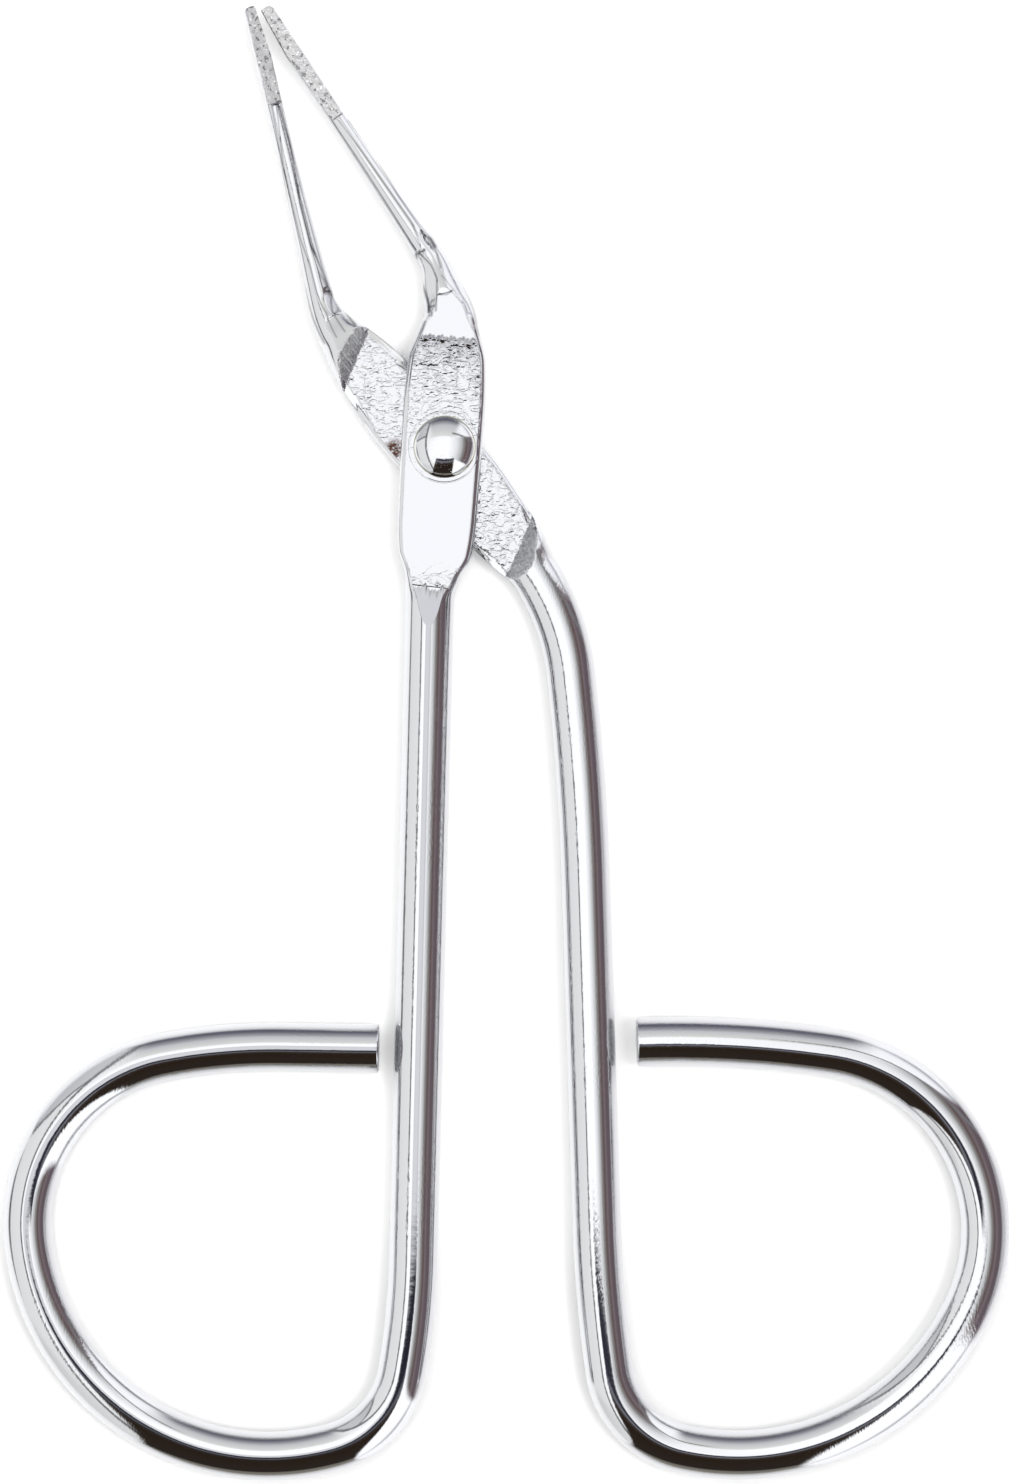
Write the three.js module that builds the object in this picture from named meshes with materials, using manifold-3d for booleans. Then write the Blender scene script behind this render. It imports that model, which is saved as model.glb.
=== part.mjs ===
// Wire scissor tweezers: two arms, each bent and forged from one length of wire, turn on one
// round-head rivet. Millimetres. The origin is the centre of the flat end of the rivet's tail,
// +Z runs up the rivet's axis to its domed head, and +Y points to the jaw tips.
import * as THREE from "three";
import { mergeVertices } from "three/addons/utils/BufferGeometryUtils.js";
import Module from "manifold-3d";

const wasm = await Module();
wasm.setup();

// ---- Driving dimensions ----

const WIRE_DIAMETER = 3.15;

// Lap: each arm is pressed to a plate, and the two plates meet at the middle of the wire.
const PLATE_WIDTH = 5.25;
const PLATE_ROUNDNESS = 0.1; // 0 is a rectangle with rounded corners, 1 an ellipse
const PLATE_CORNER = 0.35; // a corner's radius over the plate's smaller half-size
const PLATE_THICKNESS = 1.22;
const LAP_CLEARANCE = 0.1;
const SHOULDER_CLEARANCE = 1.52; // from the other arm's plate to a shoulder, along the plate
const SHOULDER_SLANT = 27.7; // degrees, so that the shoulders clear the other arm
const SHOULDER_RISE = 57; // degrees, the slope of a shoulder
const FACE_MARGIN = 0.9; // how far the pressed outer face runs past the shoulder
const FACE_SETBACK = 2.6; // from the end of the pressed outer face to the foot of the jaw
const FACE_RUNOUT = 7; // degrees, the slope on which the outer face runs out
const PLATE_LEAD_IN = 1; // from the pressed outer face's end to plain round wire

// Jaw: a neck behind the lap, then a round taper with a ground tip.
const NECK_DIAMETER = 2.65;
const JAW_LENGTH = 19.2;
const JAW_ROOT_DIAMETER = 1.75;
const JAW_TIP_DIAMETER = 1.1;
const JAW_TAPER_LENGTH = 10.8;
const JAW_TALLNESS = 1.1; // height over width
const NECK_TAPER = 2.4; // the length over which the neck runs down to the jaw
const TIP_FLAT_LENGTH = 7.6; // the ground face on the upper side of the tip
const TIP_FLAT_START = 0.18; // its depth where it starts, at a small step
const TIP_FLAT_DEPTH = 0.3; // and at the tip
const PAD_LENGTH = 3.4; // the gripping face on the inner side of the tip
const PAD_DEPTH = 0.3;
const TIP_GAP = 0.33; // between the two gripping faces as the tool lies at rest

// Handle
const FRONT_SHANK_LENGTH = 42.3;
const REAR_SHANK_LENGTH = 22.0;

// Rivet
const RIVET_DIAMETER = 2.0;
const RIVET_HOLE_CLEARANCE = 0.08; // on the radius
const RIVET_END_CLEARANCE = 0.06; // under the head and over the tail
const HEAD_DIAMETER = 4.0;
const HEAD_HEIGHT = 1.1;
const HEAD_LIP = 0.06; // height of the upright edge round the head
const DOME_FULLNESS = 2.4; // 2 is half an oval, and more is flatter on top and steeper at the rim
const TAIL_DIAMETER = 3.4;
const TAIL_FLAT_DIAMETER = 2.6;
const TAIL_PROUD = 0.3; // how far the tail stands below the wires
const TAIL_EDGE_SHARE = 0.55; // the height of the tail's sloped side over its whole height

// Fineness of the faceted surfaces
const SECTION_SIDES = 24;
const STEP_IN_LAP = 0.9;
const STEP_IN_RUN = 4;
const STEP_IN_BEND = 9; // degrees
const LEAST_STEP = 0.2;
const RIVET_SIDES = 48;
const DOME_STEPS = 10;

// ---- Heights ----

const innerFace = LAP_CLEARANCE / 2;
const outerFace = innerFace + PLATE_THICKNESS;
const lapHeight = Math.max(WIRE_DIAMETER, 2 * outerFace);
const midHeight = TAIL_PROUD + lapHeight / 2;

// ---- Centre lines: straight runs and bends, in the order in which the wire meets them ----

const straight = (length) => ({ length, turn: 0 });
const bend = (radius, turn) => ({
  length: radius * THREE.MathUtils.degToRad(Math.abs(turn)),
  turn: THREE.MathUtils.degToRad(turn),
});

// The front arm's way to its tip, whose last bend closes it on the rear arm's.
const frontWayToJaw = (closingTurn) => [
  straight(8),
  bend(3, 19.7),
  straight(2.4),
  bend(3.5, closingTurn),
  straight(JAW_LENGTH),
];

// A positive turn is to the left of the way the wire runs. lean and offset place the plate on
// the rivet: lean is how far its jaw end turns to the left of +Y, and offset is how far its
// middle line passes to the right of the rivet. side is 1 for the plate on top. plate is the
// pressed plate's width along the arm, as shares of the full width.
const frontArm = {
  lean: -3.7,
  offset: -0.19,
  side: 1,
  toJaw: frontWayToJaw(0),
  plate: [
    [-8.3, 0.68],
    [-6.8, 0.9],
    [-4.7, 0.97],
    [2.8, 1],
    [5.5, 0.95],
    [7.4, 0.77],
  ],
  toHandle: [
    straight(6),
    bend(20, -3.6),
    straight(1.5),
    bend(12, 5.9),
    straight(FRONT_SHANK_LENGTH),
    bend(47.6, -8.8),
    bend(6.05, -63.9),
    bend(15.55, -99.1),
    bend(10.83, -86.1),
    bend(38, -11.5),
    straight(6.2),
  ],
};
const rearArm = {
  lean: 39.8,
  offset: -0.55,
  side: -1,
  toJaw: [straight(9.9), bend(6, -26.3), straight(JAW_LENGTH)],
  plate: [
    [-8, 0.75],
    [-5.6, 0.87],
    [-2.5, 0.97],
    [3, 0.97],
    [7, 0.81],
    [8.9, 0.66],
  ],
  toHandle: [
    straight(8),
    bend(15.2, -33.3),
    bend(161, -4.7),
    straight(REAR_SHANK_LENGTH),
    bend(88, 6.3),
    bend(6.09, 69.6),
    bend(16.36, 78.7),
    bend(11.54, 105.3),
    bend(70, 10.3),
  ],
};

// The place and the heading on a centre line, at a distance from the rivet's axis.
function follow(start, heading, runs, distance) {
  let { x, y } = start;
  let left = distance;
  for (const [index, run] of runs.entries()) {
    const whole = index === runs.length - 1 ? left : Math.min(left, run.length);
    const turned = (run.turn * whole) / run.length;
    const chord = run.turn ? (2 * run.length * Math.sin(turned / 2)) / run.turn : whole;
    x += chord * Math.cos(heading + turned / 2);
    y += chord * Math.sin(heading + turned / 2);
    heading += turned;
    left -= whole;
    if (left <= 0) break;
  }
  return { x, y, heading };
}

const lengthOf = (runs) => runs.reduce((sum, run) => sum + run.length, 0);

// Distances along the arm are positive towards the jaw and negative towards the handle.
function placeOn(arm, along) {
  const jawHeading = Math.PI / 2 + THREE.MathUtils.degToRad(arm.lean);
  const start = {
    x: arm.offset * Math.sin(jawHeading),
    y: -arm.offset * Math.cos(jawHeading),
  };
  if (along >= 0) return follow(start, jawHeading, arm.toJaw, along);
  const place = follow(start, jawHeading + Math.PI, arm.toHandle, -along);
  return { ...place, heading: place.heading - Math.PI };
}

// The inner edge of a tip, where its gripping face ends.
function padEnd(arm) {
  const { x, y, heading } = placeOn(arm, lengthOf(arm.toJaw));
  const inset = arm.side * (JAW_TIP_DIAMETER / 2 - PAD_DEPTH);
  return { x: x - inset * Math.sin(heading), y: y + inset * Math.cos(heading), heading };
}

// The front arm's last bend, found by halving, so that the two tips stand TIP_GAP apart.
function turnThatClosesTips() {
  const rear = padEnd(rearArm);
  let [open, shut] = [0, 60];
  while (shut - open > 1e-6) {
    const turn = (open + shut) / 2;
    const front = padEnd({ ...frontArm, toJaw: frontWayToJaw(turn) });
    const across = (front.x - rear.x) * Math.sin(rear.heading);
    const gap = across - (front.y - rear.y) * Math.cos(rear.heading);
    if (gap > TIP_GAP) open = turn;
    else shut = turn;
  }
  return open;
}

frontArm.toJaw = frontWayToJaw(turnThatClosesTips());

// Two crossed plates share a rhombus, and each shoulder stands clear of its far corner.
const crossing = THREE.MathUtils.degToRad(rearArm.lean - frontArm.lean);
const lapReach =
  (PLATE_WIDTH / 2) * ((1 + Math.cos(crossing)) / Math.sin(crossing)) + SHOULDER_CLEARANCE;
const faceReach = lapReach + FACE_MARGIN;

// ---- Forged bar: how its width, height and roundness change along the arm ----

function stationsOf(arm) {
  const tip = lengthOf(arm.toJaw);
  const root = tip - JAW_LENGTH;
  const wire = { width: WIRE_DIAMETER, height: WIRE_DIAMETER, round: 1 };
  const neck = { width: NECK_DIAMETER, height: NECK_DIAMETER, round: 1 };
  const jawRoot = { width: JAW_ROOT_DIAMETER, height: JAW_ROOT_DIAMETER * JAW_TALLNESS, round: 1 };
  const jawTip = { width: JAW_TIP_DIAMETER, height: JAW_TIP_DIAMETER * JAW_TALLNESS, round: 1 };
  const plate = arm.plate.map(([along, share]) => ({
    along,
    width: PLATE_WIDTH * share,
    height: lapHeight,
    round: PLATE_ROUNDNESS,
  }));
  return [
    { along: -lengthOf(arm.toHandle), ...wire },
    { along: -faceReach - PLATE_LEAD_IN, ...wire },
    ...plate,
    { along: root - NECK_TAPER, ...neck },
    { along: root, ...jawRoot },
    { along: root + JAW_TAPER_LENGTH, ...jawTip },
    { along: tip, ...jawTip },
  ];
}

// The slope at a station that keeps a smooth curve through the stations free of overshoot.
function slopeAt(stations, index, key) {
  const before = stations[index - 1];
  const here = stations[index];
  const after = stations[index + 1];
  if (!before || !after) return 0;
  const back = (here[key] - before[key]) / (here.along - before.along);
  const ahead = (after[key] - here[key]) / (after.along - here.along);
  return back * ahead <= 0 ? 0 : (2 * back * ahead) / (back + ahead);
}

function barAt(stations, along) {
  const next = stations.findIndex((station) => station.along > along);
  if (next < 0) return stations.at(-1);
  if (next === 0) return stations[0];
  const [a, b] = [stations[next - 1], stations[next]];
  const span = b.along - a.along;
  const t = (along - a.along) / span;
  const between = (key) =>
    (1 + 2 * t) * (1 - t) ** 2 * a[key] +
    t * (1 - t) ** 2 * span * slopeAt(stations, next - 1, key) +
    t ** 2 * (3 - 2 * t) * b[key] -
    t ** 2 * (1 - t) * span * slopeAt(stations, next, key);
  return { width: between("width"), height: between("height"), round: between("round") };
}

// One point of a section. A round section is an ellipse, and a pressed one is a rectangle with
// rounded corners; the bar's roundness blends the two.
function sectionPoint({ width, height, round }, angle) {
  const w = width / 2;
  const h = height / 2;
  const corner = PLATE_CORNER * Math.min(w, h);
  const quarter = Math.PI / 2;
  const third = quarter / 3;
  const signX = Math.cos(angle) < 0 ? -1 : 1;
  const signZ = Math.sin(angle) < 0 ? -1 : 1;
  const turn = Math.atan2(Math.abs(Math.sin(angle)), Math.abs(Math.cos(angle)));
  const cornerTurn = THREE.MathUtils.clamp((turn - third) / third, 0, 1) * quarter;
  const flatX = (w - corner) * THREE.MathUtils.clamp((quarter - turn) / third, 0, 1);
  const flatZ = (h - corner) * THREE.MathUtils.clamp(turn / third, 0, 1);
  const boxX = signX * (flatX + corner * Math.cos(cornerTurn));
  const boxZ = signZ * (flatZ + corner * Math.sin(cornerTurn));
  return {
    x: THREE.MathUtils.lerp(boxX, w * Math.cos(angle), round),
    z: THREE.MathUtils.lerp(boxZ, h * Math.sin(angle), round),
  };
}

// Where the sections stand: at every bend's step, and closer together in the lap and the jaw.
function sectionPlaces(arm) {
  const places = new Set();
  for (const [runs, sign] of [[arm.toJaw, 1], [arm.toHandle, -1]]) {
    let from = 0;
    for (const run of runs) {
      const turnSteps = THREE.MathUtils.radToDeg(Math.abs(run.turn)) / STEP_IN_BEND;
      const runSteps = run.length / STEP_IN_RUN;
      const steps = Math.ceil(Math.max(turnSteps, runSteps));
      for (let i = 0; i <= steps; i++) places.add(sign * (from + (run.length * i) / steps));
      from += run.length;
    }
  }
  const lapStart = -faceReach - 2 * PLATE_LEAD_IN;
  const lapEnd = lengthOf(arm.toJaw) - JAW_LENGTH + NECK_TAPER;
  for (let along = lapStart; along < lapEnd; along += STEP_IN_LAP) places.add(along);
  const sorted = [...places].sort((a, b) => a - b);
  const last = sorted.at(-1);
  const spaced = sorted.filter((along, i) => i === 0 || along - sorted[i - 1] > LEAST_STEP);
  if (spaced.at(-1) !== last) spaced[spaced.length - 1] = last;
  return spaced;
}

function barGeometry(arm) {
  const stations = stationsOf(arm);
  const places = sectionPlaces(arm);
  const positions = [];
  for (const along of places) {
    const { x, y, heading } = placeOn(arm, along);
    const bar = barAt(stations, along);
    for (let i = 0; i < SECTION_SIDES; i++) {
      const point = sectionPoint(bar, (2 * Math.PI * i) / SECTION_SIDES);
      positions.push(x + point.x * Math.sin(heading));
      positions.push(y - point.x * Math.cos(heading));
      positions.push(midHeight + point.z);
    }
  }
  const triangles = [];
  const sides = SECTION_SIDES;
  for (let ring = 0; ring < places.length - 1; ring++) {
    for (let i = 0; i < sides; i++) {
      const a = ring * sides + i;
      const b = ring * sides + ((i + 1) % sides);
      triangles.push(a, a + sides, b, b, a + sides, b + sides);
    }
  }
  const lastRing = (places.length - 1) * sides;
  for (let i = 1; i < sides - 1; i++) {
    triangles.push(0, i, i + 1);
    triangles.push(lastRing, lastRing + i + 1, lastRing + i);
  }
  const geometry = new THREE.BufferGeometry();
  geometry.setAttribute("position", new THREE.Float32BufferAttribute(positions, 3));
  geometry.setIndex(triangles);
  return geometry;
}

// ---- Joining and cutting ----

function solidOf(geometry) {
  const bare = geometry.clone();
  bare.deleteAttribute("normal");
  bare.deleteAttribute("uv");
  const merged = mergeVertices(bare, 1e-4);
  return new wasm.Manifold(
    new wasm.Mesh({
      numProp: 3,
      vertProperties: merged.attributes.position.array,
      triVerts: new Uint32Array(merged.index.array),
    }),
  );
}

function geometryOf(solid) {
  const mesh = solid.getMesh();
  const geometry = new THREE.BufferGeometry();
  geometry.setAttribute("position", new THREE.BufferAttribute(mesh.vertProperties, 3));
  geometry.setIndex(new THREE.BufferAttribute(mesh.triVerts, 1));
  return geometry;
}

const CUT_REACH = 20; // the length of a cutting block across the arm, wider than any plate
const CUT_OVERRUN = 1; // how far a block runs past the faces that it doesn't shape

// A block of the given outline, in lengths along the arm and heights from the wire's middle,
// that runs right across the arm. slant turns its ends away from square.
function crossBlock(arm, at, outline, slant) {
  const shape = new THREE.Shape(outline.map(([along, height]) => new THREE.Vector2(along, height)));
  const block = new THREE.ExtrudeGeometry(shape, { depth: CUT_REACH, bevelEnabled: false });
  block.translate(0, 0, -CUT_REACH / 2);
  const shear = Math.tan(THREE.MathUtils.degToRad(slant));
  const { x, y, heading } = placeOn(arm, at);
  const along = new THREE.Vector3(Math.cos(heading), Math.sin(heading), 0);
  const right = new THREE.Vector3(along.y, -along.x, 0);
  const across = right.clone().addScaledVector(along, shear);
  const up = new THREE.Vector3(0, 0, 1);
  const matrix = new THREE.Matrix4().makeBasis(along, up, across);
  matrix.setPosition(x, y, midHeight);
  return block.applyMatrix4(matrix);
}

// The half of the lap that the other arm's plate takes, with a sloped shoulder at each end.
function lapRelief(arm) {
  const rise = innerFace + lapHeight / 2 + CUT_OVERRUN;
  const shoulder = rise / Math.tan(THREE.MathUtils.degToRad(SHOULDER_RISE));
  const face = arm.side * innerFace;
  const far = arm.side * (innerFace - rise);
  const outline = [
    [-lapReach, face],
    [lapReach, face],
    [lapReach + shoulder, far],
    [-lapReach - shoulder, far],
  ];
  return crossBlock(arm, 0, outline, -arm.side * SHOULDER_SLANT);
}

// What the press takes off the outer face of the plate, down to a flat that runs out gently.
function outerRelief(arm) {
  const runout = CUT_OVERRUN / Math.tan(THREE.MathUtils.degToRad(FACE_RUNOUT));
  const jawEnd = lengthOf(arm.toJaw) - JAW_LENGTH - FACE_SETBACK;
  const face = arm.side * outerFace;
  const far = arm.side * (outerFace + CUT_OVERRUN);
  const outline = [
    [-faceReach, face],
    [jawEnd, face],
    [jawEnd + runout, far],
    [-faceReach - runout, far],
  ];
  return crossBlock(arm, 0, outline, 0);
}

// The flat ground on the upper side of the tip.
function tipRelief(arm) {
  const tip = lengthOf(arm.toJaw);
  const top = (JAW_TIP_DIAMETER * JAW_TALLNESS) / 2;
  const outline = [
    [-TIP_FLAT_LENGTH, top - TIP_FLAT_START],
    [0, top - TIP_FLAT_DEPTH],
    [CUT_OVERRUN, top - TIP_FLAT_DEPTH],
    [CUT_OVERRUN, top + CUT_OVERRUN],
    [-TIP_FLAT_LENGTH, top + CUT_OVERRUN],
  ];
  return crossBlock(arm, tip, outline, 0);
}

// The gripping face: a wedge taken off the inner side of the tip, over the jaw's full height.
function padRelief(arm) {
  const tip = lengthOf(arm.toJaw);
  const edge = JAW_TIP_DIAMETER / 2;
  const wedge = new THREE.Shape([
    new THREE.Vector2(-PAD_LENGTH, edge),
    new THREE.Vector2(CUT_OVERRUN, edge - PAD_DEPTH * (1 + CUT_OVERRUN / PAD_LENGTH)),
    new THREE.Vector2(CUT_OVERRUN, edge + CUT_OVERRUN),
    new THREE.Vector2(-PAD_LENGTH, edge + CUT_OVERRUN),
  ]);
  const block = new THREE.ExtrudeGeometry(wedge, { depth: WIRE_DIAMETER, bevelEnabled: false });
  block.translate(0, 0, -WIRE_DIAMETER / 2);
  const { x, y, heading } = placeOn(arm, tip);
  const along = new THREE.Vector3(Math.cos(heading), Math.sin(heading), 0);
  const inward = new THREE.Vector3(-along.y, along.x, 0).multiplyScalar(arm.side);
  const matrix = new THREE.Matrix4().makeBasis(along, inward, new THREE.Vector3(0, 0, arm.side));
  matrix.setPosition(x, y, midHeight);
  return block.applyMatrix4(matrix);
}

function rivetHole() {
  const radius = RIVET_DIAMETER / 2 + RIVET_HOLE_CLEARANCE;
  const hole = new THREE.CylinderGeometry(radius, radius, CUT_REACH, RIVET_SIDES);
  hole.rotateX(Math.PI / 2);
  return hole;
}

function armGeometry(arm) {
  const cuts = [lapRelief(arm), outerRelief(arm), tipRelief(arm), padRelief(arm), rivetHole()];
  const blank = solidOf(barGeometry(arm));
  return geometryOf(cuts.reduce((solid, cut) => solid.subtract(solidOf(cut)), blank));
}

// ---- Rivet ----

function rivetGeometry() {
  const seat = midHeight + outerFace + RIVET_END_CLEARANCE;
  const tailTop = midHeight - outerFace - RIVET_END_CLEARANCE;
  const headRadius = HEAD_DIAMETER / 2;
  const domeRise = HEAD_HEIGHT - HEAD_LIP;
  const profile = [new THREE.Vector2(0, 0), new THREE.Vector2(TAIL_FLAT_DIAMETER / 2, 0)];
  profile.push(new THREE.Vector2(TAIL_DIAMETER / 2, tailTop * TAIL_EDGE_SHARE));
  profile.push(new THREE.Vector2(TAIL_DIAMETER / 2, tailTop));
  profile.push(new THREE.Vector2(RIVET_DIAMETER / 2, tailTop));
  profile.push(new THREE.Vector2(RIVET_DIAMETER / 2, seat));
  profile.push(new THREE.Vector2(headRadius, seat));
  for (let i = 0; i < DOME_STEPS; i++) {
    const angle = (Math.PI / 2) * (1 - i / DOME_STEPS);
    const out = headRadius * Math.sin(angle) ** (2 / DOME_FULLNESS);
    const rise = domeRise * Math.cos(angle) ** (2 / DOME_FULLNESS);
    profile.push(new THREE.Vector2(out, seat + HEAD_LIP + rise));
  }
  profile.push(new THREE.Vector2(0, seat + HEAD_HEIGHT));
  const lathe = new THREE.LatheGeometry(profile, RIVET_SIDES);
  return geometryOf(solidOf(lathe.rotateX(Math.PI / 2)));
}

// ---- Assembly ----

const chromePlate = (color, roughness) =>
  new THREE.MeshStandardMaterial({ color, roughness, metalness: 1 });

function piece(name, geometry, material) {
  const mesh = new THREE.Mesh(geometry, material);
  mesh.name = name;
  return mesh;
}

const tweezers = new THREE.Group();
tweezers.add(
  piece("front_arm", armGeometry(frontArm), chromePlate(0xd9dadc, 0.12)),
  piece("rear_arm", armGeometry(rearArm), chromePlate(0xd5d6d8, 0.14)),
  piece("pivot_rivet", rivetGeometry(), chromePlate(0xdedfe0, 0.08)),
);

export default tweezers;
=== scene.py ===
"""Wire scissor tweezers in bright chrome plate, lying on a white gloss board."""

import math

import bpy
import numpy as np
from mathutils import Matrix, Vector


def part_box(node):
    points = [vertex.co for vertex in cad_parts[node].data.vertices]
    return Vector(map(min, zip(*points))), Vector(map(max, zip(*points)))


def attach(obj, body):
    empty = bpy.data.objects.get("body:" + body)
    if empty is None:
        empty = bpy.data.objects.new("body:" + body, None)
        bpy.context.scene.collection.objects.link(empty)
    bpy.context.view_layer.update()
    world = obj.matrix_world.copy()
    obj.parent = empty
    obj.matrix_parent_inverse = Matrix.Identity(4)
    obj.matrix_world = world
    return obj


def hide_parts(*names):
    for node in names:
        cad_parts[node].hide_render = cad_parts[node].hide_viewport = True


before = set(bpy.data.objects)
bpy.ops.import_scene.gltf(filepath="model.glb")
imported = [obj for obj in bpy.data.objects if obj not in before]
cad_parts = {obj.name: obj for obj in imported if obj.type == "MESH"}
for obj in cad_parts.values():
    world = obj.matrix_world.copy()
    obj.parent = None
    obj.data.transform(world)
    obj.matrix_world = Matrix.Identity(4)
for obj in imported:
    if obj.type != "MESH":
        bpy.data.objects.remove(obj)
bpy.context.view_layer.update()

MM = 0.001  # sizes below are in millimetres, and meshes are made in metres

# ---- Sizes of the wire, the lap and the jaws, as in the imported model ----

WIRE_DIAMETER = 3.15
PLATE_WIDTH = 5.25
PLATE_THICKNESS = 1.22
PLATE_ROUNDNESS = 0.1
PLATE_END = 6.9
PLATE_END_ROUNDNESS = {1: 0.3, -1: 0.85}  # of the top plate, and of the one underneath
PLATE_EDGE = 0.34  # radius of the rolled edge round a pressed plate
LAP_CLEARANCE = 0.1
LAP_REACH = 8.1
SHOULDER_SLANT = 27.7
SHOULDER_RISE = 57
SHOULDER_BULGE = 0.25  # how much longer the shoulder's slope is in the middle than at its ends
SHOULDER_ROLL = 0.8
FACE_REACH = 9.0
FACE_SETBACK = 2.6
FACE_RUNOUT = 7
NECK_DIAMETER = 2.65
NECK_TAPER = 2.4
JAW_LENGTH = 19.2
JAW_ROOT_DIAMETER = 1.75
JAW_TIP_DIAMETER = 1.1
JAW_TAPER_LENGTH = 10.8
JAW_TALLNESS = 1.1
RIVET_DIAMETER = 2.0

RIVET_LOW, RIVET_HIGH = (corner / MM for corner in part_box("pivot_rivet"))
INNER_FACE = LAP_CLEARANCE / 2
OUTER_FACE = INNER_FACE + PLATE_THICKNESS
MID_HEIGHT = (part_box("front_arm")[0].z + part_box("front_arm")[1].z) / 2 / MM

# ---- Fineness of the meshes ----

STEP_IN_LAP = 0.07
STEP_IN_TIP = 0.1
STEP_IN_JAW = 0.3
STEP_IN_BEND = 0.35
STEP_IN_RUN = 0.8
SIDE_POINTS = 10
CORNER_POINTS = 6
TOP_POINTS = 60
BOTTOM_POINTS = 32


# ---- Camera ----

PICTURE_HEIGHT = 95.43  # of the board, from the top of the picture to its foot
PICTURE_CENTRE = (3.85, -18.92)
CAMERA_HEIGHT = 450


def place_camera():
    camera = bpy.data.cameras.new("overhead_camera")
    camera.sensor_fit = "VERTICAL"
    camera.sensor_height = 36
    camera.lens = camera.sensor_height * CAMERA_HEIGHT / PICTURE_HEIGHT
    camera.clip_start = 0.01
    camera.clip_end = 20
    holder = bpy.data.objects.new("overhead_camera", camera)
    across, along = PICTURE_CENTRE
    holder.location = (across * MM, along * MM, (MID_HEIGHT + CAMERA_HEIGHT) * MM)
    bpy.context.scene.collection.objects.link(holder)
    bpy.context.scene.camera = holder


# ---- Colours and nodes ----

def srgb(hex_colour):
    """A hex sRGB colour as the linear colour that a shader takes."""
    shares = [int(hex_colour[i:i + 2], 16) / 255 for i in (1, 3, 5)]
    linear = [c / 12.92 if c <= 0.04045 else ((c + 0.055) / 1.055) ** 2.4 for c in shares]
    return (*linear, 1.0)


def add(tree, kind, sockets=None, **settings):
    """Adds a node with its settings, and gives its sockets their values or links. A node given as
    a value links from its first output."""
    node = tree.nodes.new(kind)
    for name, value in settings.items():
        setattr(node, name, value)
    for name, value in (sockets or {}).items():
        if isinstance(value, bpy.types.Node):
            value = value.outputs[0]
        if isinstance(value, bpy.types.NodeSocket):
            tree.links.new(value, node.inputs[name])
        else:
            node.inputs[name].default_value = value
    return node


def paint_ramp(ramp, stops):
    """Gives a colour ramp its stops, each a place and a hex colour."""
    while len(ramp.elements) > 1:
        ramp.elements.remove(ramp.elements[-1])
    ramp.elements[0].position = stops[0][0]
    ramp.elements[0].color = srgb(stops[0][1])
    for place, colour in stops[1:]:
        ramp.elements.new(place).color = srgb(colour)


# ---- Studio: what stands round the board and shows in the chrome ----

# The tent is a half globe over the board, and the chrome mirrors what is painted inside it. A
# place on it is given by the tilt, as a sine, of a surface at its centre that mirrors that place:
# 0 is overhead and 0.707 is down at the board, and the two ways across are right and ahead.
TENT_RADIUS = 250
TENT_CENTRE = (0, -55)
TENT_RINGS = 24
TENT_SIDES = 72
TENT = [(0.0, "#FFFFFF"), (0.2, "#FDFDFD"), (0.3, "#EDEDEB"), (0.66, "#DEDEDC"), (0.705, "#B9B9BD")]

# Each card hangs to one side of the tent: the compass angle that it faces, its two side edges
# (each a start and how much it spreads on the way down) and their softness, and its colours
# downwards from the edge nearest overhead.
CARDS = [
    (180, (-0.75, 0), (0.75, 0), 0.1, [
        (0.246, "#EDEDED"), (0.268, "#707070"), (0.292, "#707070"), (0.318, "#DFDFDD"),
        (0.655, "#D9D9D7"), (0.675, "#8E8E8E"), (0.7, "#545456")]),
    (180, (-0.8, 0), (-0.3, 0), 0.015, [
        (0.246, "#EDEDED"), (0.268, "#707070"), (0.292, "#707070"), (0.318, "#C2C2C2"),
        (0.66, "#B4B4B8"), (0.7, "#76767A")]),
    (180, (0.3, 0), (0.75, 0), 0.05, [
        (0.246, "#EDEDED"), (0.268, "#707070"), (0.292, "#707070"), (0.318, "#D6D6D4"),
        (0.66, "#C4C4C2"), (0.7, "#6E6E6C")]),
    (315, (-0.3, 0), (0.3, 0), 0.1, [
        (0.2, "#FFFFFF"), (0.62, "#FEFEFE"), (0.67, "#DADADA"), (0.705, "#A5A5A5")]),
    (45, (-0.22, 0), (0.2, 0), 0.06, [
        (0.3, "#F9F9F9"), (0.6, "#F2F2F4"), (0.66, "#DADADE"), (0.705, "#9E9EA4")]),
    (90, (-0.04, -0.4), (0.1, 0.3), 0.06, [
        (0.24, "#D9D8D4"), (0.35, "#CACAC8"), (0.46, "#BDBDC0"), (0.55, "#929196"),
        (0.64, "#64636C"), (0.705, "#565562")]),
    (-3, (0.02, -0.52), (0.2, 0.4), 0.03, [
        (0.04, "#FAFAFA"), (0.14, "#E2E2E2"), (0.26, "#A8A8A8"), (0.29, "#8A8684"),
        (0.39, "#5C4E4D"), (0.47, "#73676A"), (0.55, "#5F5458"), (0.63, "#5F5458"),
        (0.66, "#8E8C8E"), (0.705, "#B7B7B9")]),
    (-90, (-0.1, -0.45), (0.13, 0.15), 0.015, [
        (0.03, "#2B2B35"), (0.07, "#2E2E38"), (0.085, "#6A6A70"), (0.105, "#6A6A70"),
        (0.13, "#3A3432"), (0.2, "#271E17"), (0.6, "#2A2420"), (0.635, "#6E6A62"),
        (0.705, "#77736A")]),
]
CARD_LIP = 0.012  # softness of a card's edge nearest overhead
SEAM_TILT = 0.3  # of the seam that runs round the tent ahead of the lap
SEAM_HALF_WIDTH = 0.035
SEAM_GAP = (-0.1, 0.17)  # where the seam stops to left and right of a middle
SEAM_END_SOFTNESS = 0.05
SEAM_COLOUR = "#727274"
STUDIO_STRENGTH = 1.6


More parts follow.
